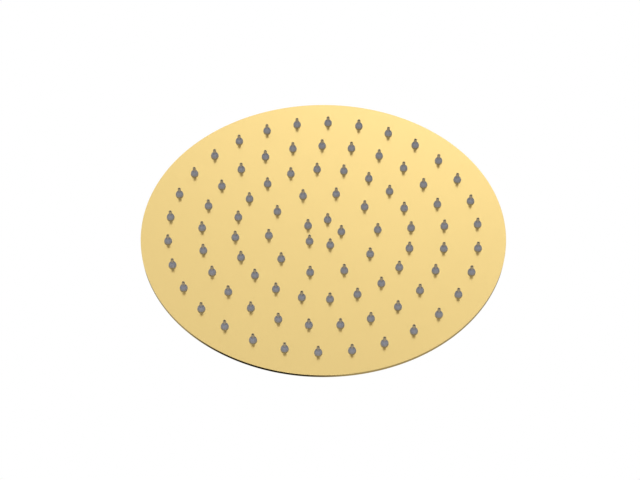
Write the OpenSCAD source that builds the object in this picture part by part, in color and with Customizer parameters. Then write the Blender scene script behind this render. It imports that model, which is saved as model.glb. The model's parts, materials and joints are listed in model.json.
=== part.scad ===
// Thin round rain shower head on a swivel ball joint.
// +Z is up, the spray leaves along -Z, and the origin is the centre of the threaded inlet's mouth.

/* [Head] */
// Outer diameter of the head
head_d = 200; // [170:10:260]
// Thickness of the head at its rim
rim_t = 1.7; // [1.6:0.1:3]
// Thickness of the face sheet and the back sheet
sheet_t = 0.5; // [0.4:0.05:0.6]
// Outside bend radius where the face turns up into the rim
rim_bend_r = 0.2; // [0.1:0.05:0.6]

/* [Back] */
// Height that the drawn dome rises above the flat back
dome_h = 6; // [4:0.5:10]
// Slope of the dome's side, in degrees
dome_slope = 30; // [25:1:40]
// Bend radius at the top and the foot of the dome's side
dome_bend_r = 8; // [5:0.5:10]
// Radius of the flat top of the dome
dome_top_r = 18.8; // [18:0.2:22]
// Spacer dimples pressed into the back outside the third ring of nozzles
outer_dimples = 10; // [5:1:15]
// Spacer dimples pressed into the back inside the third ring of nozzles
inner_dimples = 5; // [3:1:8]
// Radius of the flat foot of a spacer dimple
dimple_r = 1.3; // [1:0.1:1.6]

/* [Nozzles] */
// Nozzles in the centre ring; each wider ring has a whole multiple of them
centre_count = 5; // [3:1:5]
// Radius of the centre ring of nozzles
centre_ring_r = 9.9; // [8:0.1:14]
// Radius of the second ring of nozzles
second_ring_r = 29.9; // [26:0.1:32]
// Distance from the rim to the outer ring of nozzles
rim_margin = 15; // [10:0.5:20]
// Diameter of a nozzle where it stands on the face
nozzle_d = 4.3; // [4:0.1:5]
// Height of a nozzle above the face
nozzle_h = 4.9; // [4.2:0.1:6]
// Diameter of the nozzle's slim nose
nose_d = 1.7; // [1.4:0.1:2]
// Length of the nozzle's slim nose
nose_l = 2.7; // [1.6:0.1:3]
// Diameter of the jet hole in the tip
jet_d = 1; // [0.8:0.05:1.1]
// Diameter of the holes in the face
face_hole_d = 3.6; // [3.2:0.1:3.8]
// Thickness of the nozzle's flange behind the face
flange_t = 0.4; // [0.3:0.05:0.5]
// Width by which the flange grips behind the edge of the hole
flange_grip = 1; // [0.6:0.1:1.2]

/* [Ball joint] */
// Diameter of the ball
ball_d = 20; // [19:0.5:22]
// Largest tilt of the head to either side, in degrees
tilt_max = 15; // [8:1:18]
// Diameter of the neck above the ball
neck_d = 12; // [11:0.5:13]
// Diameter of the water bore through the neck and the ball
bore_d = 8.5; // [7:0.5:9]
// Gap between the ball and its two seats
socket_gap = 0.18; // [0.15:0.01:0.25]
// Section diameter of the sealing ring on the ball
seal_d = 2; // [1.6:0.1:2.4]
// Height by which the sealing ring stands proud of the ball
seal_proud = 0.12; // [0.05:0.01:0.13]
// Width of the flat ring round the bore under the ball
ball_flat_w = 0.85; // [0.6:0.05:1.2]
// Thickness of the friction ring that lies on the seat
ring_t = 1.7; // [1.2:0.1:2]
// Wall of the seat and the friction ring beside the ball
seat_wall = 1.32; // [1.1:0.02:1.8]
// Wall of the threaded boss around the seat
boss_wall = 1.4; // [1.2:0.1:2]
// Thickness of the boss below the seat
boss_floor = 1.8; // [1.5:0.1:3]
// Radius of the boss's foot on the dome
foot_r = 17; // [16.5:0.1:18]
// Thickness of the boss's foot
foot_t = 1.4; // [1:0.1:1.7]
// Wall of the retaining collar outside its thread
collar_wall = 2.1; // [1.8:0.1:3]
// Thickness of the collar's lip over the friction ring
lip_t = 2.4; // [2:0.1:3]
// Gap left between the collar and the boss's foot
collar_gap = 1; // [0.5:0.1:1.5]
// Grip flutes round the collar
collar_flutes = 20; // [12:2:26]
// Depth of a grip flute
flute_depth = 0.6; // [0.3:0.05:0.8]

/* [Inlet] */
// Radius of the tapped wall for a half inch pipe thread
thread_r = 9.3; // [9.3:0.1:9.5]
// Length of the tapped wall
thread_l = 9; // [8:0.5:12]
// Width of the hexagon across its flats
hex_af = 24; // [24:0.5:27]
// Thickness of the inlet washer
washer_t = 2.2; // [2:0.1:3]
// Radius of the inlet washer's hole
washer_hole_r = 6.2; // [5.5:0.1:6.3]
// Width of a square opening in the filter screen
mesh_gap = 0.9; // [0.8:0.05:1.1]
// Width of a bar of the filter screen
mesh_bar = 0.35; // [0.3:0.05:0.5]
// Thickness of the filter screen
mesh_t = 0.3; // [0.2:0.05:0.4]
// Radius of the flow regulator
regulator_r = 7.2; // [7:0.1:7.4]
// Height of the flow regulator
regulator_h = 2.8; // [2.4:0.1:3.4]
// Section diameter of the regulator's rubber ring
regulator_ring_d = 1.6; // [1.4:0.1:1.7]
// Water holes in the flow regulator
regulator_holes = 8; // [5:1:9]
// Metal left between the regulator and the neck
inlet_floor = 1.8; // [1.5:0.1:3]

/* [Hidden] */
$fn = 96;

// Working clearance between two parts that slide together by hand
fit_gap = 0.1;
// Clearance between parts that are pushed or screwed together
snug_gap = 0.05;
// Overlap that makes a cut run cleanly through a face
over = 1;
// Segments in a small turned or bent curve
curve_steps = 6;

// Colours
gold = [0.91, 0.76, 0.42];
polished_gold = [0.86, 0.68, 0.33];
silicone_grey = [0.53, 0.53, 0.55];
white_plastic = [0.93, 0.93, 0.9];
black_rubber = [0.09, 0.09, 0.1];
screen_steel = [0.75, 0.76, 0.78];

// Radii of the ball joint, worked out from the ball outwards
ball_r = ball_d / 2;
neck_r = neck_d / 2;
bore_r = bore_d / 2;
socket_r = ball_r + socket_gap;
seat_top = ball_r * sin(tilt_max) + socket_gap + 0.2;
seat_r = socket_r + seat_wall;
pocket_r = seat_r + fit_gap;
boss_r = pocket_r + boss_wall;
collar_bore_r = boss_r + fit_gap;
collar_r = collar_bore_r + collar_wall;
collar_chamfer = 1.6;
flute_r = 1.6;
ring_top = seat_top + ring_t;
lip_top = ring_top + lip_t;
lip_clear = 0.35;
lip_r = neck_r / cos(tilt_max) + lip_top * tan(tilt_max) + lip_clear;
lip_chamfer = 0.5;
boss_top = 1;
boss_chamfer = 0.5;
shoulder_gap = 0.3;
ball_cut = sqrt(ball_r ^ 2 - (bore_r + ball_flat_w) ^ 2);
ball_floor_gap = 0.4;
seat_depth = ball_cut + ball_floor_gap;
seat_hole_r = 6;

// Heights, from the mouth of the inlet down
regulator_gap = 0.2;
inlet_depth = thread_l + washer_t;
nut_h = inlet_depth + regulator_h + regulator_gap + inlet_floor;
nut_clear = 1.2;
neck_h = (collar_r - collar_chamfer) * sin(tilt_max) + lip_top * cos(tilt_max) + nut_clear;
ball_z = -nut_h - neck_h;
foot_z = ball_z - seat_depth - boss_floor;
back_z = foot_z - dome_h;
face_z = back_z - rim_t;
inner_face_z = face_z + sheet_t;

// The dome's side: the middle of the sheet bends, runs straight and bends back
mid_bend_r = min(dome_bend_r, 0.45 * dome_h / (1 - cos(dome_slope))) + sheet_t / 2;
dome_side = (dome_h - 2 * mid_bend_r * (1 - cos(dome_slope))) / sin(dome_slope);
dome_foot_r = dome_top_r + 2 * mid_bend_r * sin(dome_slope) + dome_side * cos(dome_slope);
spigot_r = 9;
spigot_l = 1.4;

// Rings of nozzles, from the centre outwards
ring_multiples = [1, 2, 4, 5, 6];
head_r = head_d / 2;
outer_ring_r = head_r - rim_margin;
ring_pitch = (outer_ring_r - second_ring_r) / 3;
function ring_r(ring) = ring == 1 ? centre_ring_r : second_ring_r + (ring - 2) * ring_pitch;
function ring_count(ring) = centre_count * ring_multiples[ring - 1];

// Spacer dimples: the inner ring stays clear of the dome's foot
dimple_draft = 1;
dimple_sink = 0.4;
outer_dimple_r = (ring_r(4) + ring_r(5)) / 2;
inner_dimple_r = max((ring_r(2) + ring_r(3)) / 2, dome_foot_r + dimple_r + dimple_draft + fit_gap);
inner_dimple_turn = 180 / ring_count(3);

// Annular channel of the flow regulator, which holds the rubber ring
channel_r = 3.9;
channel_w = regulator_ring_d + 1.2;
channel_depth = 1.5;
regulator_top = -inlet_depth - regulator_gap;

// Points of an arc around [cx, cz], from one angle to another
function arc(cx, cz, r, from, to, steps = curve_steps) =
    [for (i = [0:steps]) let (a = from + (to - from) * i / steps) [cx + r * cos(a), cz + r * sin(a)]];

// Copies the children evenly round the axis
module around(count, r, turn = 0) {
    for (i = [0:count - 1])
        rotate([0, 0, turn + i * 360 / count])
            translate([r, 0, 0])
                children();
}

// Ring or disc of square section between two radii and two heights
module band(inner_r, outer_r, low, high) {
    rotate_extrude()
        polygon([[inner_r, low], [outer_r, low], [outer_r, high], [inner_r, high]]);
}

// Half section of a disc whose lower outer corner is rounded
module rounded_half(w, h, r) {
    square([w - r, h]);
    translate([0, r])
        square([w, h - r]);
    translate([w - r, r])
        circle(r = r, $fn = 48);
}

// Face sheet: a shallow pan whose turned-up rim closes on the back sheet
module face_pan() {
    inner_bend_r = max(rim_bend_r - sheet_t, snug_gap);
    translate([0, 0, face_z])
        rotate_extrude($fn = 180)
            difference() {
                rounded_half(head_r, rim_t, rim_bend_r);
                translate([0, sheet_t])
                    rounded_half(head_r - sheet_t, rim_t, inner_bend_r);
            }
}

module face_plate() {
    color(gold)
        difference() {
            face_pan();
            for (ring = [1:5])
                around(ring_count(ring), ring_r(ring))
                    translate([0, 0, face_z - over])
                        cylinder(d = face_hole_d, h = sheet_t + 2 * over, $fn = 32);
        }
}

// One side of the back sheet in section, at a distance from the middle of the sheet
function back_line(side) = let (
        top = foot_z - sheet_t / 2,
        low = back_z - sheet_t / 2,
        upper = mid_bend_r + side,
        lower = mid_bend_r - side
    ) concat(
        [[spigot_r + snug_gap, top + side]],
        arc(dome_top_r, top - mid_bend_r, upper, 90, 90 - dome_slope),
        arc(dome_foot_r, low + mid_bend_r, lower, 270 - dome_slope, 270),
        [[head_r - sheet_t - snug_gap, low + side]]
    );

// Reverses a list of points
function backwards(points) = [for (i = [len(points) - 1:-1:0]) points[i]];

// Cone for a spacer dimple, or for the hollow that the punch leaves in it
module dimple(foot, top, low, high) {
    translate([0, 0, low])
        cylinder(r1 = foot, r2 = top, h = high - low, $fn = 32);
}

// Both rings of spacer dimples
module all_dimples(foot, top, low, high) {
    around(outer_dimples, outer_dimple_r)
        dimple(foot, top, low, high);
    around(inner_dimples, inner_dimple_r, inner_dimple_turn)
        dimple(foot, top, low, high);
}

// Back sheet: flat, with a drawn dome and dimples that stand on the face sheet
module back_plate() {
    punch_low = inner_face_z + sheet_t * 0.7;
    punch_high = back_z + over;
    punch_r = dimple_r - dimple_sink;
    punch_top_r = punch_r + dimple_draft * (punch_high - punch_low) / (back_z - punch_low);
    color(gold)
        difference() {
            union() {
                rotate_extrude($fn = 180)
                    polygon(concat(back_line(-sheet_t / 2), backwards(back_line(sheet_t / 2))));
                all_dimples(dimple_r, dimple_r + dimple_draft, inner_face_z, back_z - sheet_t / 2);
            }
            all_dimples(punch_r, punch_top_r, punch_low, punch_high);
        }
}

// Half section of a nozzle: flange behind the sheet, neck in the hole, swelling body, slim nose
module nozzle_half() {
    base_r = nozzle_d / 2;
    nose_r = nose_d / 2;
    hole_r = face_hole_d / 2;
    body_h = nozzle_h - nose_l;
    shoulder_w = base_r - nose_r - fit_gap;
    swell_r = (body_h ^ 2 + shoulder_w ^ 2) / 2 / shoulder_w;
    jet_l = nozzle_h * 0.4;
    difference() {
        union() {
            translate([0, sheet_t])
                square([hole_r + flange_grip, flange_t]);
            square([hole_r - snug_gap, sheet_t]);
            intersection() {
                translate([base_r - swell_r, 0])
                    circle(r = swell_r, $fn = 96);
                translate([0, -body_h])
                    square([base_r, body_h]);
            }
            translate([0, -nozzle_h])
                square([nose_r, nozzle_h]);
        }
        polygon([
            [0, flange_t + sheet_t + over],
            [nose_r, flange_t + sheet_t + over],
            [nose_r, sheet_t],
            [jet_d / 2, jet_l - nozzle_h],
            [jet_d / 2, -nozzle_h - over],
            [0, -nozzle_h - over]
        ]);
    }
}

module nozzle() {
    rotate_extrude($fn = 32)
        nozzle_half();
}

module nozzle_ring(ring) {
    color(silicone_grey)
        around(ring_count(ring), ring_r(ring))
            translate([0, 0, face_z])
                nozzle();
}

// Threaded boss that stands on the dome and holds the ball joint
module socket_boss() {
    floor_z = ball_z - seat_depth;
    color(polished_gold)
        rotate_extrude()
            polygon([
                [seat_hole_r, foot_z - spigot_l],
                [spigot_r, foot_z - spigot_l],
                [spigot_r, foot_z],
                [foot_r, foot_z],
                [foot_r, foot_z + foot_t / 2],
                [foot_r - foot_t / 2, foot_z + foot_t],
                [boss_r, foot_z + foot_t],
                [boss_r, ball_z + boss_top - boss_chamfer],
                [boss_r - boss_chamfer, ball_z + boss_top],
                [pocket_r, ball_z + boss_top],
                [pocket_r, floor_z],
                [seat_hole_r, floor_z]
            ]);
}

// Seat: a cup that snaps over the ball's widest part, so the seal never crosses its edge
module ball_seat() {
    color(white_plastic)
        difference() {
            band(seat_hole_r, seat_r, ball_z - seat_depth, ball_z + seat_top);
            translate([0, 0, ball_z])
                sphere(r = socket_r);
        }
}

// Friction ring that the collar presses on the ball
module friction_ring() {
    color(white_plastic)
        difference() {
            band(seat_hole_r, seat_r, ball_z + seat_top, ball_z + ring_top);
            translate([0, 0, ball_z])
                sphere(r = socket_r);
        }
}

// Screwed collar whose lip follows the ball and holds the friction ring down
module retaining_collar() {
    low = foot_z + foot_t + collar_gap;
    high = ball_z + lip_top;
    shoulder = ball_z + boss_top + shoulder_gap;
    edge = 0.6;
    plain = 1.4;
    color(polished_gold)
        difference() {
            rotate_extrude()
                polygon([
                    [collar_bore_r, low],
                    [collar_r - edge, low],
                    [collar_r, low + edge],
                    [collar_r, high - collar_chamfer],
                    [collar_r - collar_chamfer, high],
                    [lip_r + lip_chamfer, high],
                    [lip_r, high - lip_chamfer],
                    [lip_r, high - lip_t],
                    [pocket_r, high - lip_t],
                    [pocket_r, shoulder],
                    [collar_bore_r, shoulder]
                ]);
            around(collar_flutes, collar_r + flute_r - flute_depth)
                translate([0, 0, low + edge + plain])
                    cylinder(r = flute_r, h = high - collar_chamfer - low - edge - 2 * plain, $fn = 24);
            translate([0, 0, ball_z])
                sphere(r = socket_r + fit_gap);
        }
}

// Sealing ring that sits in the groove round the ball
module ball_seal() {
    color(black_rubber)
        translate([0, 0, ball_z])
            rotate_extrude()
                translate([ball_r + seal_proud - seal_d / 2, 0])
                    circle(d = seal_d, $fn = 48);
}

// Six-sided nut with its corners turned off above and below
module hex_nut() {
    corner_r = hex_af / 2 / cos(30);
    corner_cut = 1;
    intersection() {
        translate([0, 0, -nut_h])
            cylinder(r = corner_r, h = nut_h, $fn = 6);
        rotate_extrude()
            polygon([
                [0, -nut_h],
                [corner_r - corner_cut, -nut_h],
                [corner_r, -nut_h + corner_cut * 0.6],
                [corner_r, -corner_cut * 0.6],
                [corner_r - corner_cut, 0],
                [0, 0]
            ]);
    }
}

// Inlet nut, neck and ball, turned from one bar
module swivel_ball() {
    neck_flare = 2;
    groove_r = ball_r + seal_proud - seal_d - snug_gap;
    groove_w = seal_d + 2 * fit_gap;
    thread_relief_r = thread_r + 1.2;
    color(polished_gold)
        difference() {
            union() {
                hex_nut();
                translate([0, 0, ball_z])
                    cylinder(r = neck_r, h = neck_h + over / 2);
                translate([0, 0, -nut_h - neck_flare])
                    cylinder(r1 = neck_r, r2 = neck_r + neck_flare * 1.6, h = neck_flare + over / 10);
                translate([0, 0, ball_z])
                    sphere(r = ball_r);
            }
            // Threaded mouth, washer seat, regulator pocket and water bore
            translate([0, 0, -thread_l])
                cylinder(r = thread_r, h = thread_l + over);
            band(0, thread_relief_r, -inlet_depth, -thread_l);
            band(0, regulator_r + snug_gap, -nut_h + inlet_floor, -inlet_depth + over);
            translate([0, 0, ball_z - ball_r - over])
                cylinder(r = bore_r, h = ball_r + neck_h + nut_h);
            // Flat under the ball, and the groove for the sealing ring
            band(0, ball_r + over, ball_z - ball_r - over, ball_z - ball_cut);
            band(groove_r, ball_r + over, ball_z - groove_w / 2, ball_z + groove_w / 2);
        }
}

// Rubber washer with the filter screen's edge moulded into it
module inlet_washer() {
    low = -inlet_depth;
    slot_low = low + (washer_t - mesh_t) / 2 - snug_gap;
    slot_high = slot_low + mesh_t + 2 * snug_gap;
    slot_r = washer_hole_r + 1.2;
    outer_r = thread_r - snug_gap;
    color(black_rubber)
        rotate_extrude()
            polygon([
                [washer_hole_r, low],
                [outer_r, low],
                [outer_r, low + washer_t],
                [washer_hole_r, low + washer_t],
                [washer_hole_r, slot_high],
                [slot_r, slot_high],
                [slot_r, slot_low],
                [washer_hole_r, slot_low]
            ]);
}

// Woven screen that keeps grit out of the nozzles
module filter_screen() {
    low = -inlet_depth + (washer_t - mesh_t) / 2;
    cell = mesh_gap + mesh_bar;
    reach = floor(washer_hole_r / cell);
    color(screen_steel)
        difference() {
            band(0, washer_hole_r + 1, low, low + mesh_t);
            for (i = [-reach:reach], j = [-reach:reach])
                if (norm([abs(i) + 0.5, abs(j) + 0.5]) * cell < washer_hole_r)
                    translate([i * cell - mesh_gap / 2, j * cell - mesh_gap / 2, low - over])
                        cube([mesh_gap, mesh_gap, mesh_t + 2 * over]);
        }
}

// Pressed-in insert whose rubber ring narrows its water holes as the pressure rises
module flow_regulator() {
    top = regulator_top;
    hole_r = 0.6;
    color(white_plastic)
        difference() {
            band(0, regulator_r, top - regulator_h, top);
            band(channel_r - channel_w / 2, channel_r + channel_w / 2, top - channel_depth, top + over);
            around(regulator_holes, channel_r - channel_w / 4)
                translate([0, 0, top - regulator_h - over])
                    cylinder(r = hole_r, h = regulator_h + over, $fn = 24);
        }
}

// Rubber ring that rests in the regulator's channel
module regulator_ring() {
    color(black_rubber)
        translate([0, 0, regulator_top - channel_depth + regulator_ring_d / 2 + snug_gap])
            rotate_extrude()
                translate([channel_r + channel_w / 10, 0])
                    circle(d = regulator_ring_d, $fn = 32);
}

face_plate();
back_plate();
nozzle_ring(1);  // nozzles_ring_1
nozzle_ring(2);  // nozzles_ring_2
nozzle_ring(3);  // nozzles_ring_3
nozzle_ring(4);  // nozzles_ring_4
nozzle_ring(5);  // nozzles_ring_5
socket_boss();
ball_seat();
friction_ring();
retaining_collar();
ball_seal();
swivel_ball();
inlet_washer();
filter_screen();
flow_regulator();
regulator_ring();
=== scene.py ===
import json
import math

import bmesh
import bpy
from mathutils import Matrix, Vector


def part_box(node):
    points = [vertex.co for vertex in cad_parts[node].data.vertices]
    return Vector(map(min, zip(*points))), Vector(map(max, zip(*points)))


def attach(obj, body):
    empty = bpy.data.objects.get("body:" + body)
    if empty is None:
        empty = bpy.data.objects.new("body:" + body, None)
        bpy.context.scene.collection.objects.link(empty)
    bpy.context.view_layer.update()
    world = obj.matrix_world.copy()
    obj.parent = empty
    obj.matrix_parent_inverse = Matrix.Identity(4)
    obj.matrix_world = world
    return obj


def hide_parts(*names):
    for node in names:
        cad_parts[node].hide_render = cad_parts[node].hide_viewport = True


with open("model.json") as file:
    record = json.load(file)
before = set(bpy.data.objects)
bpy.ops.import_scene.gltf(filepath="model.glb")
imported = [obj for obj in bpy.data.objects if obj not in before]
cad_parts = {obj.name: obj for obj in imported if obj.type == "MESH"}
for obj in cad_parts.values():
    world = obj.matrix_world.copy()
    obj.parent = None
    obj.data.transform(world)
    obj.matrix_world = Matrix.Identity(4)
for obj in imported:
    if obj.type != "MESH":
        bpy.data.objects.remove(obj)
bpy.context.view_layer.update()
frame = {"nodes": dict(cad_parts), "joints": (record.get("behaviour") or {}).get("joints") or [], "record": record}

# Units, and the sizes that the frame doesn't give
MM = 0.001
UM = 0.001 * MM
SHEET_T = 0.5 * MM
RIM_BEND_R = 0.1 * MM
HOLE_R = 1.8 * MM
FLANGE_R = 2.8 * MM
NOZZLE_BASE_R = 2.15 * MM
NOSE_R = 0.85 * MM
NOSE_L = 2.4 * MM
JET_R = 0.5 * MM
FLANGE_T = 0.4 * MM
LOOP_REACH = 4 * MM
LOOP_GAP = 0.04 * MM
POLE_R = 1e-6
WELD_REACH = 1e-7
SHARP_ANGLE = math.radians(35)
EDGE_R = 0.08 * MM
SNUG_GAP = 0.05 * MM
SPIGOT_R = 9.05 * MM
SPIGOT_L = 1.4 * MM
DOME_TOP_R = 18.8 * MM
DOME_FOOT_R = 33.61 * MM
DOME_SLOPE_DEG = 30
DOME_BEND_R = 8.25 * MM
DIMPLE_R = 1.95 * MM
DIMPLE_RINGS = [(5, 39.08 * MM, math.radians(9)), (10, 75.82 * MM, 0.0)]
SEAT_HOLE_R = 6 * MM
SEAT_DEPTH = 9 * MM
BOSS_R = 13 * MM
POCKET_R = 11.6 * MM
COLLAR_BORE_R = 13.1 * MM
LIP_R = 8.46 * MM
COLLAR_FLUTES = 20
FLUTE_R = 1.6 * MM
FLUTE_DEPTH = 0.6 * MM
BALL_R = 10 * MM
NECK_R = 6 * MM
BORE_R = 4.25 * MM
NUT_H = 16 * MM
THREAD_R = 9.3 * MM
THREAD_H = 1.15 * MM
THREAD_L = 9 * MM
THREAD_PITCH = 1.814 * MM
THREAD_ROWS = 70
INLET_DEPTH = 11.2 * MM
REGULATOR_R = 7.25 * MM
WASHER_HOLE_R = 6.2 * MM
RING_COUNTS = {1: 5, 2: 10, 3: 20, 4: 25, 5: 30}

# Heights and radii read from the frame
FACE_LOW, FACE_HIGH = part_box("face_plate")
FACE_Z = FACE_LOW.z
BACK_Z = FACE_HIGH.z
HEAD_R = FACE_HIGH.x
TIP_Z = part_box("nozzles_ring_5")[0].z
BALL_Z = frame["joints"][0]["pos_m"][2]
RING_RADII = {ring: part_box(f"nozzles_ring_{ring}")[1].x - FLANGE_R for ring in RING_COUNTS}


def link(name, mesh):
    """A new object for a mesh, at the origin."""
    piece = bpy.data.objects.new(name, mesh)
    bpy.context.scene.collection.objects.link(piece)
    return piece


def smooth(mesh):
    """Smooth shading, with edges past an angle left sharp."""
    mesh.shade_smooth()
    mesh.set_sharp_from_angle(angle=SHARP_ANGLE)


def turned(name, outline, steps):
    """A ring-shaped or closed solid, turned about the Z axis.

    outline(angle) gives the closed section at that angle as (radius, height) points.
    """
    points, faces = [], []
    sections = [outline(2 * math.pi * i / steps) for i in range(steps)]
    count = len(sections[0])
    for i, section in enumerate(sections):
        angle = 2 * math.pi * i / steps
        points += [(r * math.cos(angle), r * math.sin(angle), z) for r, z in section]
    for i in range(steps):
        here, there = i * count, (i + 1) % steps * count
        for k in range(count):
            after = (k + 1) % count
            faces.append((here + k, there + k, there + after, here + after))
    mesh = bpy.data.meshes.new(name)
    mesh.from_pydata(points, [], faces)
    work = bmesh.new()
    work.from_mesh(mesh)
    bmesh.ops.remove_doubles(work, verts=work.verts, dist=WELD_REACH)
    bmesh.ops.recalc_face_normals(work, faces=work.faces)
    work.to_mesh(mesh)
    work.free()
    smooth(mesh)
    return mesh


def rounded(corners, steps):
    """Points of a closed section whose (radius, height, fillet) corners are rounded off."""
    points = []
    for i, (r, z, fillet) in enumerate(corners):
        here = Vector((r, z))
        if not fillet:
            points.append((r, z))
            continue
        back = (Vector(corners[i - 1][:2]) - here).normalized()
        on = (Vector(corners[(i + 1) % len(corners)][:2]) - here).normalized()
        half = back.angle(on) / 2
        reach = fillet / math.tan(half)
        centre = here + (back + on).normalized() * (fillet / math.sin(half))
        start, end = here + back * reach - centre, here + on * reach - centre
        sweep = start.angle_signed(end)
        for k in range(steps + 1):
            spoke = Matrix.Rotation(-sweep * k / steps, 2) @ start
            points.append(tuple(centre + spoke))
    return points


def arc(centre, radius, start_deg, end_deg, steps):
    """Points of an arc, from one angle to another."""
    angles = [math.radians(start_deg + (end_deg - start_deg) * k / steps) for k in range(steps + 1)]
    return [(centre[0] + radius * math.cos(a), centre[1] + radius * math.sin(a)) for a in angles]


# Materials


class Nodes:
    """Short calls to fill a node tree."""

    def __init__(self, tree):
        self.tree = tree
        tree.nodes.clear()

    def add(self, kind, inputs=None, **settings):
        """A new node. An input is either a socket to link to or a value."""
        node = self.tree.nodes.new(kind)
        for key, value in settings.items():
            setattr(node, key, value)
        for key, value in (inputs or {}).items():
            if isinstance(value, bpy.types.NodeSocket):
                self.tree.links.new(value, node.inputs[key])
            else:
                node.inputs[key].default_value = value
        return node

    def math(self, operation, a, b=0.0):
        """The result of a Math node."""
        return self.add("ShaderNodeMath", {0: a, 1: b}, operation=operation).outputs[0]


def group(name, inputs, outputs):
    """An empty shader node group with named number sockets, and its input and output nodes."""
    tree = bpy.data.node_groups.new(name, "ShaderNodeTree")
    for side, sockets in (("INPUT", inputs), ("OUTPUT", outputs)):
        for socket in sockets:
            tree.interface.new_socket(socket, in_out=side, socket_type="NodeSocketFloat")
    nodes = Nodes(tree)
    return nodes, nodes.add("NodeGroupInput"), nodes.add("NodeGroupOutput")


BRUSH_SCALE = (40, 9000, 9000)
BRUSH_CLOUD_SCALE = 22.0


def brushed_group():
    """Fine straight brushing of sheet metal: a colour factor, a roughness and a height."""
    inputs, outputs = ["Roughness", "Spread", "Tint"], ["Roughness", "Tint", "Height"]
    nodes, given, out = group("fine brushing", inputs, outputs)
    place = nodes.add("ShaderNodeTexCoord").outputs["Object"]
    along = nodes.add("ShaderNodeMapping", {"Vector": place, "Scale": BRUSH_SCALE}).outputs[0]
    lines = nodes.add("ShaderNodeTexNoise", {"Vector": along, "Scale": 1.0, "Detail": 2.0}).outputs["Fac"]
    soft = {"Vector": place, "Scale": BRUSH_CLOUD_SCALE, "Detail": 3.0}
    cloud = nodes.add("ShaderNodeTexNoise", soft).outputs["Fac"]
    centred = nodes.math("SUBTRACT", lines, 0.5)
    cloudy = nodes.math("SUBTRACT", cloud, 0.5)
    both = nodes.math("ADD", centred, cloudy)
    spread = nodes.math("MULTIPLY", both, given.outputs["Spread"])
    nodes.tree.links.new(nodes.math("ADD", spread, given.outputs["Roughness"]), out.inputs["Roughness"])
    tint = nodes.math("MULTIPLY", both, given.outputs["Tint"])
    nodes.tree.links.new(nodes.math("ADD", tint, 1.0), out.inputs["Tint"])
    nodes.tree.links.new(lines, out.inputs["Height"])
    return nodes.tree


def material(name):
    """A new node material: its nodes and its Principled shader."""
    made = bpy.data.materials.new(name)
    made.use_nodes = True
    nodes = Nodes(made.node_tree)
    shader = nodes.add("ShaderNodeBsdfPrincipled")
    out = nodes.add("ShaderNodeOutputMaterial")
    made.node_tree.links.new(shader.outputs[0], out.inputs["Surface"])
    return made, nodes, shader


def scaled_colour(nodes, colour, factor):
    """A colour multiplied by a value that changes over the surface."""
    given = {0: 1.0, 6: (*colour, 1.0), 7: factor}
    return nodes.add("ShaderNodeMix", given, data_type="RGBA", blend_type="MULTIPLY").outputs[2]


def smooth_steps(nodes, value, start, end, low, high):
    """A value eased from low to high as the input goes from start to end."""
    given = {"Value": value, "From Min": start, "From Max": end, "To Min": low, "To Max": high}
    return nodes.add("ShaderNodeMapRange", given, interpolation_type="SMOOTHSTEP").outputs[0]


BRUSHING = brushed_group()
GOLD = (0.92, 0.69, 0.28)
FACE_ROUGHNESS = 0.2
RIM_ROUGHNESS = 0.08
BRUSH_SPREAD = 0.05
BRUSH_TINT = 0.02
BRUSH_BUMP = 0.04
METAL_RELIEF = 0.02 * MM
POLISHED_GOLD = (0.90, 0.67, 0.29)
LATHE_SCALE = 900.0
LATHE_BUMP = 0.05
POLISH_CLOUD_SCALE = 90.0
POLISH_ROUGHNESS = (0.1, 0.18)
GRAIN_BUMP = 0.1
GRAIN_RELIEF = 0.05 * MM
SILICONE = (0.256, 0.267, 0.32)
# Painted warm light from the gold face, laid on the nozzle noses
TIP_PAINTED_WARM_LIGHT = (0.37, 0.31, 0.2)
ACETAL = (0.82, 0.82, 0.78)
RUBBER = (0.018, 0.018, 0.02)
STEEL = (0.55, 0.56, 0.58)


def satin_gold():
    """Stainless sheet with a satin gold coating, brushed almost to a mirror."""
    made, nodes, shader = material("satin_gold")
    shader.inputs["Metallic"].default_value = 1.0
    brush = nodes.add("ShaderNodeGroup", node_tree=BRUSHING)
    brush.inputs["Spread"].default_value = BRUSH_SPREAD
    brush.inputs["Tint"].default_value = BRUSH_TINT
    place = nodes.add("ShaderNodeTexCoord").outputs["Object"]
    flat = nodes.add("ShaderNodeVectorMath", {0: place, 1: (1, 1, 0)}, operation="MULTIPLY").outputs[0]
    radius = nodes.add("ShaderNodeVectorMath", {0: flat}, operation="LENGTH").outputs["Value"]
    on_rim = nodes.math("GREATER_THAN", radius, HEAD_R - RIM_BEND_R)
    gloss = nodes.math("MULTIPLY_ADD", on_rim, RIM_ROUGHNESS - FACE_ROUGHNESS)
    gloss.node.inputs[2].default_value = FACE_ROUGHNESS
    made.node_tree.links.new(gloss, brush.inputs["Roughness"])
    colour = scaled_colour(nodes, GOLD, brush.outputs["Tint"])
    relief = {"Strength": BRUSH_BUMP, "Distance": METAL_RELIEF, "Height": brush.outputs["Height"]}
    bump = nodes.add("ShaderNodeBump", relief)
    made.node_tree.links.new(colour, shader.inputs["Base Color"])
    made.node_tree.links.new(brush.outputs["Roughness"], shader.inputs["Roughness"])
    made.node_tree.links.new(bump.outputs[0], shader.inputs["Normal"])
    return made


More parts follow.
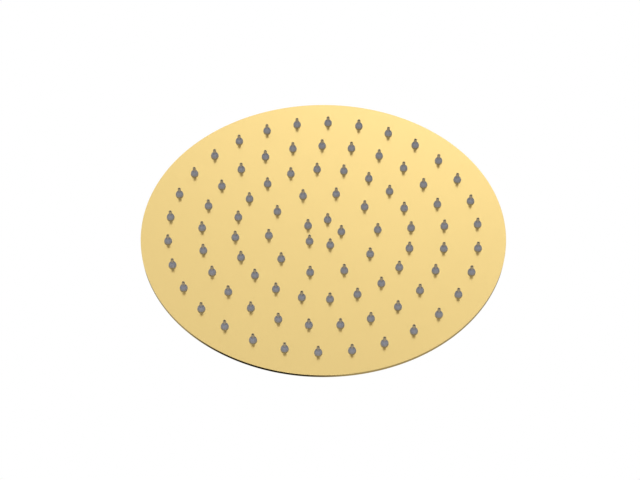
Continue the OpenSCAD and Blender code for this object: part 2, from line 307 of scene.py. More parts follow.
def polished_gold():
    """Turned brass with gold plating: faint rings from the lathe under a polish."""
    made, nodes, shader = material("polished_gold")
    shader.inputs["Metallic"].default_value = 1.0
    place = nodes.add("ShaderNodeTexCoord").outputs["Object"]
    wave = {"Vector": place, "Scale": LATHE_SCALE, "Distortion": 2.0, "Detail": 2.0}
    rings = nodes.add("ShaderNodeTexWave", wave, wave_type="BANDS", bands_direction="Z").outputs["Fac"]
    soft = {"Vector": place, "Scale": POLISH_CLOUD_SCALE, "Detail": 3.0}
    cloud = nodes.add("ShaderNodeTexNoise", soft).outputs["Fac"]
    dull = {"Value": cloud, "To Min": POLISH_ROUGHNESS[0], "To Max": POLISH_ROUGHNESS[1]}
    rough = nodes.add("ShaderNodeMapRange", dull).outputs[0]
    bump = nodes.add("ShaderNodeBump", {"Strength": LATHE_BUMP, "Distance": METAL_RELIEF, "Height": rings})
    shader.inputs["Base Color"].default_value = (*POLISHED_GOLD, 1.0)
    made.node_tree.links.new(rough, shader.inputs["Roughness"])
    made.node_tree.links.new(bump.outputs[0], shader.inputs["Normal"])
    return made


def paint_warm_light_on_tips(nodes, place, colour, tip):
    """Painted warm light: the noses of the nozzles are tinted towards the gold, standing in for the warm light of
    the face showing through and mirrored in them.
    """
    height = nodes.add("ShaderNodeSeparateXYZ", {0: place}).outputs["Z"]
    nose = smooth_steps(nodes, height, TIP_Z, TIP_Z + NOSE_L, 1.0, 0.0)
    return nodes.add("ShaderNodeMix", {0: nose, 6: colour, 7: (*tip, 1.0)}, data_type="RGBA").outputs[2]


def plain(name, colour, roughness, grain, mottle=0.1, metallic=0.0, tip=None):
    """A moulded or drawn material with a fine grain in its colour, gloss and surface."""
    made, nodes, shader = material(name)
    shader.inputs["Metallic"].default_value = metallic
    place = nodes.add("ShaderNodeTexCoord").outputs["Object"]
    noise = nodes.add("ShaderNodeTexNoise", {"Vector": place, "Scale": grain, "Detail": 4.0}).outputs["Fac"]
    tint = nodes.add("ShaderNodeMapRange", {"Value": noise, "To Min": 1 - mottle, "To Max": 1 + mottle})
    rough = nodes.add("ShaderNodeMapRange", {"Value": noise, "To Min": roughness[0], "To Max": roughness[1]})
    bump = nodes.add("ShaderNodeBump", {"Strength": GRAIN_BUMP, "Distance": GRAIN_RELIEF, "Height": noise})
    shade = scaled_colour(nodes, colour, tint.outputs[0])
    # Painted warm light of the face on the nozzle noses, blended in by height
    if tip:
        shade = paint_warm_light_on_tips(nodes, place, shade, tip)
    made.node_tree.links.new(shade, shader.inputs["Base Color"])
    made.node_tree.links.new(rough.outputs[0], shader.inputs["Roughness"])
    made.node_tree.links.new(bump.outputs[0], shader.inputs["Normal"])
    return made


FINISHES = {
    "satin_gold": satin_gold(),
    "polished_gold": polished_gold(),
    "grey_silicone": plain("grey_silicone", SILICONE, roughness=(0.42, 0.6), grain=1800, tip=TIP_PAINTED_WARM_LIGHT),
    "white_acetal": plain("white_acetal", ACETAL, roughness=(0.3, 0.42), grain=900, mottle=0.03),
    "black_rubber": plain("black_rubber", RUBBER, roughness=(0.5, 0.7), grain=1500),
    "steel_mesh": plain("steel_mesh", STEEL, roughness=(0.22, 0.36), grain=2500, mottle=0.05, metallic=1.0),
}

# Every CAD node gets the finish of its slot in the record
for part in frame["record"]["subparts"]:
    cad = frame["nodes"][part["node"]]
    cad.data.materials.clear()
    cad.data.materials.append(FINISHES[part["material_slot"]])


# Geometry Nodes

HOLE_SIDES = 32
DRILL_L = SHEET_T * 6


def geometry_tree(name, inputs):
    """An empty Geometry Nodes tree with named inputs."""
    tree = bpy.data.node_groups.new(name, "GeometryNodeTree")
    tree.interface.new_socket("Geometry", in_out="INPUT", socket_type="NodeSocketGeometry")
    for socket, kind in inputs:
        tree.interface.new_socket(socket, in_out="INPUT", socket_type=kind)
    tree.interface.new_socket("Geometry", in_out="OUTPUT", socket_type="NodeSocketGeometry")
    nodes = Nodes(tree)
    return nodes, nodes.add("NodeGroupInput").outputs


def ring_of_copies(nodes, count, radius, height, shape, turned_by=0.0):
    """Copies of a shape spread evenly round the Z axis, each turned to face outwards."""
    points = nodes.add("GeometryNodePoints", {"Count": count})
    index = nodes.add("GeometryNodeInputIndex").outputs[0]
    angle = nodes.math("DIVIDE", nodes.math("MULTIPLY", index, math.tau), count)
    angle = nodes.math("ADD", angle, turned_by)
    x = nodes.math("MULTIPLY", nodes.math("COSINE", angle), radius)
    y = nodes.math("MULTIPLY", nodes.math("SINE", angle), radius)
    place = nodes.add("ShaderNodeCombineXYZ", {"X": x, "Y": y, "Z": height}).outputs[0]
    turn = nodes.add("ShaderNodeCombineXYZ", {"Z": angle}).outputs[0]
    placed = nodes.add("GeometryNodeSetPosition", {"Geometry": points.outputs[0], "Position": place})
    copies = {"Points": placed.outputs[0], "Instance": shape, "Rotation": turn}
    return nodes.add("GeometryNodeInstanceOnPoints", copies).outputs[0]


def drill_mesh(nodes, given):
    """A cylinder that cuts one hole."""
    shape = {"Vertices": HOLE_SIDES, "Radius": given["Hole radius"], "Depth": given["Hole depth"]}
    return nodes.add("GeometryNodeMeshCylinder", shape).outputs[0]


def drilled(nodes, sheet, holes):
    """A sheet with holes cut where the copies of the drill stand."""
    holes = nodes.add("GeometryNodeRealizeInstances", {"Geometry": holes}).outputs[0]
    return nodes.add("GeometryNodeMeshBoolean", {0: sheet, 1: holes}, operation="DIFFERENCE").outputs[0]


def finish_tree(nodes, geometry, given):
    """Ends a tree: real geometry and the finish."""
    real = nodes.add("GeometryNodeRealizeInstances", {"Geometry": geometry}).outputs[0]
    made = nodes.add("GeometryNodeSetMaterial", {"Geometry": real, "Material": given["Finish"]}).outputs[0]
    nodes.add("NodeGroupOutput", {"Geometry": made})
    return nodes.tree


def nozzle_ring_tree():
    """One ring of nozzles, each standing on the face."""
    nodes, given = geometry_tree(
        "nozzle ring",
        [
            ("Nozzle", "NodeSocketObject"),
            ("Count", "NodeSocketInt"),
            ("Ring radius", "NodeSocketFloat"),
            ("Face height", "NodeSocketFloat"),
            ("Finish", "NodeSocketMaterial"),
        ],
    )
    nozzle = nodes.add("GeometryNodeObjectInfo", {"Object": given["Nozzle"]}).outputs["Geometry"]
    ring = ring_of_copies(nodes, given["Count"], given["Ring radius"], given["Face height"], nozzle)
    return finish_tree(nodes, ring, given)


def perforated_tree():
    """The sheet with five rings of round holes cut through it."""
    nodes, given = geometry_tree(
        "perforated sheet",
        [
            ("Hole radius", "NodeSocketFloat"),
            ("Hole depth", "NodeSocketFloat"),
            ("Sheet height", "NodeSocketFloat"),
            *[(f"Count {ring}", "NodeSocketInt") for ring in RING_COUNTS],
            *[(f"Ring {ring}", "NodeSocketFloat") for ring in RING_COUNTS],
            ("Finish", "NodeSocketMaterial"),
        ],
    )
    drill = drill_mesh(nodes, given)
    cut = given["Geometry"]
    for ring in RING_COUNTS:
        place = (given[f"Count {ring}"], given[f"Ring {ring}"])
        holes = ring_of_copies(nodes, *place, given["Sheet height"], drill)
        cut = drilled(nodes, cut, holes)
    return finish_tree(nodes, cut, given)


def grown(name, tree, values, base=None):
    """Runs a tree with named values and returns the result as a plain mesh object."""
    carrier = link(name, base or bpy.data.meshes.new(name))
    modifier = carrier.modifiers.new("grow", "NODES")
    modifier.node_group = tree
    sockets = {s.name: s.identifier for s in tree.interface.items_tree if s.in_out == "INPUT"}
    for key, value in values.items():
        modifier[sockets[key]] = value
    bpy.context.view_layer.update()
    graph = bpy.context.evaluated_depsgraph_get()
    mesh = bpy.data.meshes.new_from_object(carrier.evaluated_get(graph))
    carrier.modifiers.clear()
    carrier.data = mesh
    mesh.name = name
    return carrier


def settle(piece, body, slot, *nodes):
    """A finished piece rides on its body and stands for its CAD nodes."""
    if not piece.data.materials:
        piece.data.materials.append(FINISHES[slot])
    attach(piece, body)
    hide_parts(*nodes)


# Nozzles


def nozzle_section():
    """Flange behind the sheet, neck in the hole, swelling body and slim nose with a soft tip."""
    height = FACE_Z - TIP_Z
    body_h = height - NOSE_L
    waist_inset = 0.1 * MM
    shoulder_w = NOZZLE_BASE_R - NOSE_R - waist_inset
    swell_r = (body_h**2 + shoulder_w**2) / 2 / shoulder_w
    body_share = 0.93
    sweep = body_share * math.degrees(math.asin(body_h / swell_r))
    waist_r, waist_drop, waist_deg = 1.2 * MM, 0.35 * MM, 120
    tip_edge = 0.22 * MM
    jet_l = 0.4 * height
    neck_r = HOLE_R - SNUG_GAP
    body = arc((NOZZLE_BASE_R - swell_r, 0), swell_r, 0, -sweep, steps=8)
    nose = arc((NOSE_R + waist_r, -body_h - waist_drop), waist_r, waist_deg, 180, steps=4)
    tip = arc((NOSE_R - tip_edge, tip_edge - height), tip_edge, 0, -90, steps=4)
    return [
        *body,
        *nose,
        *tip,
        (JET_R, -height),
        (JET_R, jet_l - height),
        (NOSE_R, SHEET_T),
        (NOSE_R, SHEET_T + FLANGE_T),
        (FLANGE_R, SHEET_T + FLANGE_T),
        (FLANGE_R, SHEET_T),
        (neck_r, SHEET_T),
        (neck_r, 0),
    ]


nozzle_points = nozzle_section()
nozzle = link("one_nozzle", turned("one_nozzle", lambda angle: nozzle_points, steps=32))
nozzle_tree = nozzle_ring_tree()
for ring, count in RING_COUNTS.items():
    values = {
        "Nozzle": nozzle,
        "Count": count,
        "Ring radius": RING_RADII[ring],
        "Face height": FACE_Z,
        "Finish": FINISHES["grey_silicone"],
    }
    node_name = f"nozzles_ring_{ring}"
    settle(grown(f"silicone_{node_name}", nozzle_tree, values), "head", "grey_silicone", node_name)
bpy.data.objects.remove(nozzle)


# Face sheet


def face_section():
    """The sheet as a closed section, with loops between the rings of holes and beside the bend."""
    inner_z = FACE_Z + SHEET_T
    inner_bend_r = 0.05 * MM
    wall_r = HEAD_R - SHEET_T
    flat_r = HEAD_R - RIM_BEND_R
    centre_loop, rim_loop = 1 * MM, 2 * MM
    loops = [centre_loop]
    for radius in RING_RADII.values():
        loops += [radius - LOOP_REACH, radius, radius + LOOP_REACH]
    loops += [flat_r - rim_loop, flat_r - LOOP_GAP]
    inner_loops = [r for r in loops if r < wall_r - LOOP_GAP]
    return [
        (POLE_R, FACE_Z),
        *[(r, FACE_Z) for r in loops],
        *arc((flat_r, FACE_Z + RIM_BEND_R), RIM_BEND_R, -90, 0, steps=8),
        (HEAD_R, FACE_Z + RIM_BEND_R + LOOP_GAP),
        (HEAD_R, BACK_Z - EDGE_R - LOOP_GAP),
        *arc((HEAD_R - EDGE_R, BACK_Z - EDGE_R), EDGE_R, 0, 90, steps=3),
        (wall_r, BACK_Z),
        *arc((wall_r - inner_bend_r, inner_z + inner_bend_r), inner_bend_r, 0, -90, steps=2),
        *[(r, inner_z) for r in reversed(inner_loops)],
        (POLE_R, inner_z),
    ]


face_points = face_section()
face_values = {
    "Hole radius": HOLE_R,
    "Hole depth": DRILL_L,
    "Sheet height": FACE_Z + SHEET_T / 2,
    "Finish": FINISHES["satin_gold"],
    **{f"Count {ring}": count for ring, count in RING_COUNTS.items()},
    **{f"Ring {ring}": radius for ring, radius in RING_RADII.items()},
}
pan = turned("face_pan", lambda angle: face_points, steps=360)
face = grown("drilled_face_sheet", perforated_tree(), face_values, base=pan)
smooth(face.data)
settle(face, "head", "satin_gold", "face_plate")


# Back sheet


def back_section():
    """The back sheet as a closed section: spigot hole, drawn dome, flat with loops beside the dimples."""
    outer_r = HEAD_R - SHEET_T - SNUG_GAP
    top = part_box("back_plate")[1].z - SHEET_T / 2
    low = BACK_Z - SHEET_T / 2
    bend_r = DOME_BEND_R
    lean = DOME_SLOPE_DEG
    foot_loop = DOME_FOOT_R + 2 * MM
    dimple_loop = DIMPLE_RINGS[1][1] - LOOP_REACH
    loops = [foot_loop, 45 * MM, 60 * MM, dimple_loop, 80 * MM, 90 * MM]

    def side(offset):
        crest = arc((DOME_TOP_R, top - bend_r), bend_r + offset, 90, 90 - lean, steps=10)
        foot = arc((DOME_FOOT_R, low + bend_r), bend_r - offset, 270 - lean, 270, steps=10)
        flat = [(r, low + offset) for r in [*loops, outer_r]]
        return [(SPIGOT_R, top + offset), *crest, *foot, *flat]

    return [*side(-SHEET_T / 2), *reversed(side(SHEET_T / 2))]


def dimple_section():
    """A pressed dimple that stands on the face sheet, as a closed cup seen from the back."""
    floor_r, foot_r = 0.9 * MM, 1.3 * MM
    foot_z = FACE_Z + SHEET_T
    floor_z = foot_z + 0.7 * SHEET_T
    lip, root, land = 0.35 * MM, 0.25 * MM, 0.1 * MM
    corners = [
        (0, floor_z, 0),
        (floor_r, floor_z, root),
        (DIMPLE_R - land, BACK_Z, lip),
        (DIMPLE_R, BACK_Z, 0),
        (DIMPLE_R, BACK_Z - SHEET_T, 0),
        (foot_r, foot_z, root / 2),
        (0, foot_z, 0),
    ]
    return rounded(corners, steps=5)


def dimpled_tree():
    """The dome with round holes cut in it and a pressed dimple set in each."""
    rings = range(1, len(DIMPLE_RINGS) + 1)
    nodes, given = geometry_tree(
        "dimpled sheet",
        [
            ("Dimple", "NodeSocketObject"),
            ("Hole radius", "NodeSocketFloat"),
            ("Hole depth", "NodeSocketFloat"),
            ("Sheet height", "NodeSocketFloat"),
            *[(f"Count {ring}", "NodeSocketInt") for ring in rings],
            *[(f"Ring {ring}", "NodeSocketFloat") for ring in rings],
            *[(f"Turn {ring}", "NodeSocketFloat") for ring in rings],
            ("Finish", "NodeSocketMaterial"),
        ],
    )
    drill = drill_mesh(nodes, given)
    cup = nodes.add("GeometryNodeObjectInfo", {"Object": given["Dimple"]}).outputs["Geometry"]
    join = nodes.add("GeometryNodeJoinGeometry")
    cut = given["Geometry"]
    for ring in rings:
        place = (given[f"Count {ring}"], given[f"Ring {ring}"])
        turned_by = given[f"Turn {ring}"]
        holes = ring_of_copies(nodes, *place, given["Sheet height"], drill, turned_by)
        cut = drilled(nodes, cut, holes)
        cups = ring_of_copies(nodes, *place, 0.0, cup, turned_by)
        nodes.tree.links.new(cups, join.inputs[0])
    nodes.tree.links.new(cut, join.inputs[0])
    return finish_tree(nodes, join.outputs[0], given)


back_points = back_section()
dimple_points = dimple_section()
dimple = link("one_dimple", turned("one_dimple", lambda angle: dimple_points, steps=32))
back_values = {
    "Dimple": dimple,
    "Hole radius": DIMPLE_R,
    "Hole depth": DRILL_L,
    "Sheet height": BACK_Z - SHEET_T / 2,
    "Finish": FINISHES["satin_gold"],
}
for ring, (count, radius, turned_by) in enumerate(DIMPLE_RINGS, 1):
    back_values.update({f"Count {ring}": count, f"Ring {ring}": radius, f"Turn {ring}": turned_by})
dome = turned("back_dome", lambda angle: back_points, steps=240)
back = grown("domed_back_sheet", dimpled_tree(), back_values, base=dome)
smooth(back.data)
bpy.data.objects.remove(dimple)
settle(back, "head", "satin_gold", "back_plate")


# Boss and collar


def boss_section():
    """The socket's boss: spigot through the back sheet, foot flange, plain wall under the collar."""
    low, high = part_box("socket_boss")
    foot_z = low.z + SPIGOT_L
    foot_t = 1.4 * MM
    chamfer = 0.5 * MM
    spigot_r = SPIGOT_R - SNUG_GAP
    seat_z = BALL_Z - SEAT_DEPTH
    fine, slight, soft, softer, root = 0.1 * MM, 0.15 * MM, 0.3 * MM, 0.4 * MM, 0.35 * MM
    corners = [
        (SEAT_HOLE_R, low.z, fine),
        (spigot_r, low.z, fine),
        (spigot_r, foot_z, 0),
        (high.x, foot_z, fine),
        (high.x, foot_z + foot_t / 2, soft),
        (high.x - foot_t / 2, foot_z + foot_t, softer),
        (BOSS_R, foot_z + foot_t, root),
        (BOSS_R, high.z - chamfer, slight),
        (BOSS_R - chamfer, high.z, slight),
        (POCKET_R, high.z, fine),
        (POCKET_R, seat_z, fine),
        (SEAT_HOLE_R, seat_z, fine),
    ]
    return rounded(corners, steps=3)


def flute_cut(angle, wall_r):
    """How far the flutes cut into the collar's wall at an angle."""
    pitch = 2 * math.pi / COLLAR_FLUTES
    off = (angle + pitch / 2) % pitch - pitch / 2
    centre = wall_r + FLUTE_R - FLUTE_DEPTH
    reach = FLUTE_R**2 - (centre * math.sin(off)) ** 2
    if reach <= 0:
        return 0
    return max(0, wall_r - centre * math.cos(off) + math.sqrt(reach))


def collar_section(angle):
    """The fluted collar: rounded edges, flutes that run out softly, a lip that follows the ball."""
    low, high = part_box("retaining_collar")
    wall_r = high.x
    edge, plain_h, chamfer, lip_t, runout = 0.6 * MM, 1.4 * MM, 1.6 * MM, 2.4 * MM, 0.5 * MM
    fine, slight, soft, softer, lip_edge = 0.1 * MM, 0.15 * MM, 0.3 * MM, 0.4 * MM, 0.45 * MM
    shoulder_z = BALL_Z + 1.3 * MM
    relief_gap = 0.28 * MM
    relief_r = BALL_R + relief_gap
    flute_low, flute_high = low.z + edge + plain_h, high.z - chamfer - plain_h
    depth = flute_cut(angle, wall_r)
    steps = 5
    ease = [(1 - math.cos(math.pi * k / steps)) / 2 for k in range(steps + 1)]
    rise = [(wall_r - depth * t, flute_low + runout * k / steps, 0) for k, t in enumerate(ease)]
    fall = [(wall_r - depth * t, flute_high - runout * k / steps, 0) for k, t in enumerate(ease)]
    relief_top = math.degrees(math.acos(LIP_R / relief_r))
    relief_low = math.degrees(math.asin((high.z - lip_t - BALL_Z) / relief_r))
    relief = [(r, z, 0) for r, z in arc((0, BALL_Z), relief_r, relief_top, relief_low, steps=4)]
    corners = [
        (COLLAR_BORE_R, low.z, slight),
        (wall_r, low.z, edge),
        *rise,
        *reversed(fall),
        (wall_r, high.z - chamfer, soft),
        (wall_r - chamfer, high.z, softer),
        (LIP_R, high.z, lip_edge),
        *relief,
        (POCKET_R, high.z - lip_t, fine),
        (POCKET_R, shoulder_z, 0),
        (COLLAR_BORE_R, shoulder_z, 0),
    ]
    return rounded(corners, steps=4)


boss_points = boss_section()
boss = link("turned_boss", turned("turned_boss", lambda angle: boss_points, steps=144))
settle(boss, "head", "polished_gold", "socket_boss")
collar = link("fluted_collar", turned("fluted_collar", collar_section, steps=COLLAR_FLUTES * 16))
settle(collar, "head", "polished_gold", "retaining_collar")


# Inlet: threaded nut, neck and ball in one piece


def hex_radius(angle):
    """The nut's radius at an angle, its corners slightly turned off."""
    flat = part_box("swivel_ball")[1].y
    off = angle % (math.pi / 3) - math.pi / 6
    corner_cut = 0.15 * MM
    return min(flat / math.cos(off), flat / math.cos(math.pi / 6) - corner_cut)


def nut_radius(hex_r, corner_r, depth):
    """The nut's radius at a depth below its end: corner chamfer and rounded edge."""
    edge, chamfer_w, chamfer_slope = 0.15 * MM, 1 * MM, 0.6
    chamfered = min(hex_r, corner_r - chamfer_w + depth / chamfer_slope)
    if depth >= edge:
        return chamfered
    return chamfered - edge + math.sqrt(edge**2 - (edge - depth) ** 2)


def thread_radius(angle, z):
    """The inlet's parallel pipe thread, with a countersunk mouth."""
    phase = (z / THREAD_PITCH - angle / 2 / math.pi) % 1
    middle, swing = 0.65, 0.75
    groove = min(1, max(0, middle - swing * math.cos(2 * math.pi * phase)))
    mouth_r = THREAD_R + THREAD_H + z
    return max(THREAD_R + THREAD_H * groove, mouth_r)


def inlet_section(angle):
    """The inlet's closed section at an angle: bore, ball with its groove, neck, nut and thread."""
    low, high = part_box("swivel_ball")
    nut_z = -NUT_H
    corner_r = high.y / math.cos(math.pi / 6)
    hex_r = hex_radius(angle)
    depths = [UM * depth for depth in (0, 20, 50, 90, 150, 220, 290, 360, 430, 500, 600, 750)]
    under = [(nut_radius(hex_r, corner_r, d), nut_z + d) for d in depths]
    above = [(nut_radius(hex_r, corner_r, d), -d) for d in reversed(depths)]
    thread_z = [-THREAD_L * k / THREAD_ROWS for k in range(THREAD_ROWS + 1)]
    thread = [(thread_radius(angle, z), z) for z in thread_z]
    fillet, neck_root, neck_blend_deg = 2.4 * MM, 0.5 * MM, 3
    groove_h, groove_r = 1.1 * MM, 8.07 * MM
    washer_r = THREAD_R + 1.2 * MM
    regulator_z = -INLET_DEPTH - 3 * MM
    groove_deg = math.degrees(math.asin(groove_h / BALL_R))
    flat_deg = math.degrees(math.asin((BALL_Z - low.z) / BALL_R))
    neck_deg = math.degrees(math.acos(NECK_R / BALL_R))
    return [
        (BORE_R, low.z),
        *arc((0, BALL_Z), BALL_R, -flat_deg, -groove_deg, steps=12),
        (groove_r, BALL_Z - groove_h),
        (groove_r, BALL_Z + groove_h),
        *arc((0, BALL_Z), BALL_R, groove_deg, neck_deg - neck_blend_deg, steps=12),
        (NECK_R, BALL_Z + math.sqrt(BALL_R**2 - NECK_R**2) + neck_root),
        *arc((NECK_R + fillet, nut_z - fillet), fillet, 180, 90, steps=8),
        *under,
        *above,
        *thread,
        (washer_r, -THREAD_L),
        (washer_r, -INLET_DEPTH),
        (REGULATOR_R, -INLET_DEPTH),
        (REGULATOR_R, regulator_z),
        (BORE_R, regulator_z),
    ]


inlet = link("threaded_inlet_ball", turned("threaded_inlet_ball", inlet_section, steps=192))
settle(inlet, "inlet", "polished_gold", "swivel_ball")


# Washer and woven screen

WIRE_SAMPLES = 4
WIRE_SIDES = 6
SCREEN_PITCH = 0.625 * MM
WIRE_R = 0.08 * MM
WIRE_WAVE = 0.07 * MM
SCREEN_EDGE_GAP = 0.1 * MM


def washer_section():
    """The washer: a flat ring with rounded edges."""
    low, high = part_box("inlet_washer")
    edge = 0.3 * MM
    corners = [(WASHER_HOLE_R, low.z), (high.x, low.z), (high.x, high.z), (WASHER_HOLE_R, high.z)]
    return rounded([(r, z, edge) for r, z in corners], steps=5)


def woven_tree():
    """Round wires that pass over and under each other, cut to a disc."""
    nodes, given = geometry_tree(
        "woven screen",
        [
            ("Radius", "NodeSocketFloat"),
            ("Pitch", "NodeSocketFloat"),
            ("Wire radius", "NodeSocketFloat"),
            ("Wave", "NodeSocketFloat"),
            ("Height", "NodeSocketFloat"),
            ("Finish", "NodeSocketMaterial"),
        ],
    )
    reach = nodes.math("FLOOR", nodes.math("DIVIDE", given["Radius"], given["Pitch"]))
    count = nodes.math("ADD", nodes.math("MULTIPLY", reach, 2.0), 1.0)
    span = nodes.math("MULTIPLY", reach, given["Pitch"])
    back_span = nodes.math("MULTIPLY", span, -1.0)
    samples = nodes.math("ADD", nodes.math("MULTIPLY", reach, 2.0 * WIRE_SAMPLES), 1.0)
    join = nodes.add("GeometryNodeJoinGeometry")
    circle = {"Resolution": WIRE_SIDES, "Radius": given["Wire radius"]}
    profile = nodes.add("GeometryNodeCurvePrimitiveCircle", circle, mode="RADIUS").outputs[0]
    for along, across, sign in (("X", "Y", 1.0), ("Y", "X", -1.0)):
        first = nodes.add("ShaderNodeCombineXYZ", {along: back_span, across: back_span}).outputs[0]
        last = nodes.add("ShaderNodeCombineXYZ", {along: back_span, across: span}).outputs[0]
        row = {"Count": count, "Start Location": first, "Offset": last}
        starts = nodes.add("GeometryNodeMeshLine", row, mode="END_POINTS").outputs[0]
        wire_end = nodes.add("ShaderNodeCombineXYZ", {along: nodes.math("MULTIPLY", span, 2.0)}).outputs[0]
        wire = nodes.add("GeometryNodeCurvePrimitiveLine", {"End": wire_end}).outputs[0]
        wire = nodes.add("GeometryNodeResampleCurve", {"Curve": wire, "Count": samples}).outputs[0]
        wires = nodes.add("GeometryNodeInstanceOnPoints", {"Points": starts, "Instance": wire}).outputs[0]
        wires = nodes.add("GeometryNodeRealizeInstances", {"Geometry": wires}).outputs[0]
        place = nodes.add("GeometryNodeInputPosition").outputs[0]
        xyz = nodes.add("ShaderNodeSeparateXYZ", {0: place}).outputs
        turns = [nodes.math("MULTIPLY", xyz[axis], math.pi) for axis in ("X", "Y")]
        swings = [nodes.math("COSINE", nodes.math("DIVIDE", turn, given["Pitch"])) for turn in turns]
        swing = nodes.math("MULTIPLY", swings[0], swings[1])
        lift = nodes.math("MULTIPLY", swing, nodes.math("MULTIPLY", given["Wave"], sign))
        offset = nodes.add("ShaderNodeCombineXYZ", {"Z": nodes.math("ADD", lift, given["Height"])}).outputs[0]
        wavy = nodes.add("GeometryNodeSetPosition", {"Geometry": wires, "Offset": offset}).outputs[0]
        flat = nodes.add("ShaderNodeCombineXYZ", {"X": xyz["X"], "Y": xyz["Y"]}).outputs[0]
        far = nodes.add("ShaderNodeVectorMath", {0: flat}, operation="LENGTH").outputs["Value"]
        outside = nodes.math("GREATER_THAN", far, given["Radius"])
        cut = {"Geometry": wavy, "Selection": outside}
        kept = nodes.add("GeometryNodeDeleteGeometry", cut, domain="POINT").outputs[0]
        round_wire = {"Curve": kept, "Profile Curve": profile, "Fill Caps": True}
        tube = nodes.add("GeometryNodeCurveToMesh", round_wire).outputs[0]
        nodes.tree.links.new(tube, join.inputs[0])
    return finish_tree(nodes, join.outputs[0], given)


washer_points = washer_section()
washer = link("moulded_washer", turned("moulded_washer", lambda angle: washer_points, steps=96))
settle(washer, "inlet", "black_rubber", "inlet_washer")
screen_low, screen_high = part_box("filter_screen")
screen_values = {
    "Radius": screen_high.x - SCREEN_EDGE_GAP,
    "Pitch": SCREEN_PITCH,
    "Wire radius": WIRE_R,
    "Wave": WIRE_WAVE,
    "Height": (screen_low.z + screen_high.z) / 2,
    "Finish": FINISHES["steel_mesh"],
}
screen = grown("woven_screen", woven_tree(), screen_values)
smooth(screen.data)
settle(screen, "inlet", "steel_mesh", "filter_screen")


# Studio: the picture's own viewpoint, a pale floor and soft light

VIEW_ELEVATION = 47.6
VIEW_AZIMUTH = -31.81
VIEW_DISTANCE = 1.277
LENS = 131.08
SENSOR = 36.0
FRAME_W = 640
CENTRE_RIGHT_PX = 3.38
CENTRE_UP_PX = 7.12
FLOOR_Z = -1.3
FLOOR_SIZE = 60.0
FLOOR_COLOUR = (0.86, 0.86, 0.85)
FLOOR_ROUGHNESS = 0.9
BAND_TURN = math.radians(41)
BAND_HEIGHT = 0.76
BAND_FULL, BAND_END = 0.06, 0.14
BAND_SHADE = 0.35
SHADE_FROM, SHADE_TO = -0.63, -0.58
CORE_SHADE = 0.03
CORE_FROM, CORE_TO = 0.32, 0.59
ROOM = 0.93
FAR_LIGHT = {
    "place": (-0.3, 1.9, FLOOR_Z + 0.8),
    "target": (-0.3, 1.9, FLOOR_Z),
    "size": 0.5,
    "watts": 9,
}
NEAR_LIGHT = {
    "place": (0.1, -1.1, -1.1),
    "target": (0, 0, FACE_Z),
    "size": 0.9,
    "watts": 5.7,
}

turn = Matrix.Rotation(math.radians(VIEW_AZIMUTH), 4, "Z")
face_centre = Vector((0, 0, FACE_Z))


def add_camera():
    """Looks up at the nozzles from below, turned over so that the far rim is at the top."""
    elevation = math.radians(VIEW_ELEVATION)
    back = Vector((0, -math.cos(elevation), -math.sin(elevation)))
    right = Vector((-1, 0, 0))
    up = back.cross(right)
    data = bpy.data.cameras.new("camera")
    data.lens = LENS
    data.sensor_width = SENSOR
    data.shift_x = -CENTRE_RIGHT_PX / FRAME_W
    data.shift_y = -CENTRE_UP_PX / FRAME_W
    camera = bpy.data.objects.new("camera", data)
    bpy.context.scene.collection.objects.link(camera)
    axes = Matrix((right, up, back)).transposed().to_4x4()
    towards_face = Matrix.Translation(face_centre) @ turn
    camera.matrix_world = towards_face @ Matrix.Translation(back * VIEW_DISTANCE) @ axes
    bpy.context.scene.camera = camera


def add_floor():
    """A pale, matt floor far below the part, wide enough to have no edge in any view."""
    mesh = bpy.data.meshes.new("floor")
    half = FLOOR_SIZE / 2
    signs = [(-1, -1), (1, -1), (1, 1), (-1, 1)]
    corners = [(half * x, half * y, FLOOR_Z) for x, y in signs]
    mesh.from_pydata(corners, [], [(0, 1, 2, 3)])
    floor = link("floor", mesh)
    made, _, shader = material("pale_floor")
    shader.inputs["Base Color"].default_value = (*FLOOR_COLOUR, 1)
    shader.inputs["Roughness"].default_value = FLOOR_ROUGHNESS
    mesh.materials.append(made)


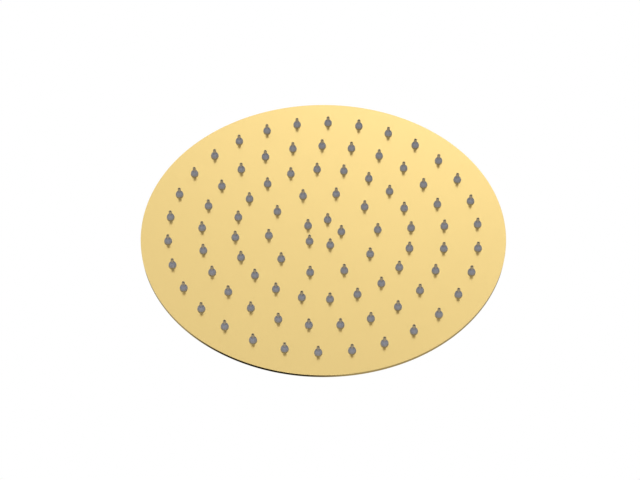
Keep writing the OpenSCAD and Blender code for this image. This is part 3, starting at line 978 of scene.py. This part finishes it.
def add_light(name, place, target, size, watts):
    """A soft square light, placed in the picture's own directions."""
    data = bpy.data.lights.new(name, "AREA")
    data.energy = watts
    data.size = size
    light = bpy.data.objects.new(name, data)
    bpy.context.scene.collection.objects.link(light)
    start = turn @ Vector(place)
    light.location = start
    light.rotation_mode = "QUATERNION"
    light.rotation_quaternion = (turn @ Vector(target) - start).to_track_quat("-Z", "Y")


def add_world():
    """White to the camera. What the metal mirrors is a white room with a shaded band over the camera."""
    world = bpy.data.worlds.new("studio")
    bpy.context.scene.world = world
    world.use_nodes = True
    nodes = Nodes(world.node_tree)
    near = turn @ Vector((0, -1, 0))
    darkest = turn @ Vector((math.sin(BAND_TURN), -math.cos(BAND_TURN), 0))
    direction = nodes.add("ShaderNodeTexCoord").outputs["Generated"]
    height = nodes.add("ShaderNodeSeparateXYZ", {0: direction}).outputs["Z"]
    off_band = nodes.math("ABSOLUTE", nodes.math("SUBTRACT", height, BAND_HEIGHT))
    towards_near = nodes.add("ShaderNodeVectorMath", {0: direction, 1: near}, operation="DOT_PRODUCT")
    towards_dark = nodes.add("ShaderNodeVectorMath", {0: direction, 1: darkest}, operation="DOT_PRODUCT")
    nearness, darkness = towards_near.outputs["Value"], towards_dark.outputs["Value"]
    shade = smooth_steps(nodes, nearness, SHADE_FROM, SHADE_TO, 1.0, BAND_SHADE)
    core = smooth_steps(nodes, darkness, CORE_FROM, CORE_TO, 1.0, CORE_SHADE)
    inside = nodes.math("MULTIPLY", shade, core)
    fade = {
        "Value": off_band,
        "From Min": BAND_FULL,
        "From Max": BAND_END,
        "To Min": inside,
        "To Max": ROOM,
    }
    room = nodes.add("ShaderNodeMapRange", fade).outputs[0]
    seen = nodes.add("ShaderNodeLightPath").outputs["Is Camera Ray"]
    strength = nodes.math("MAXIMUM", room, seen)
    back = nodes.add("ShaderNodeBackground", {"Color": (1, 1, 1, 1), "Strength": strength})
    out = nodes.add("ShaderNodeOutputWorld")
    world.node_tree.links.new(back.outputs[0], out.inputs["Surface"])


add_camera()
add_floor()
add_world()
add_light("far_light", **FAR_LIGHT)
add_light("near_light", **NEAR_LIGHT)
bpy.context.scene.view_settings.view_transform = "Standard"
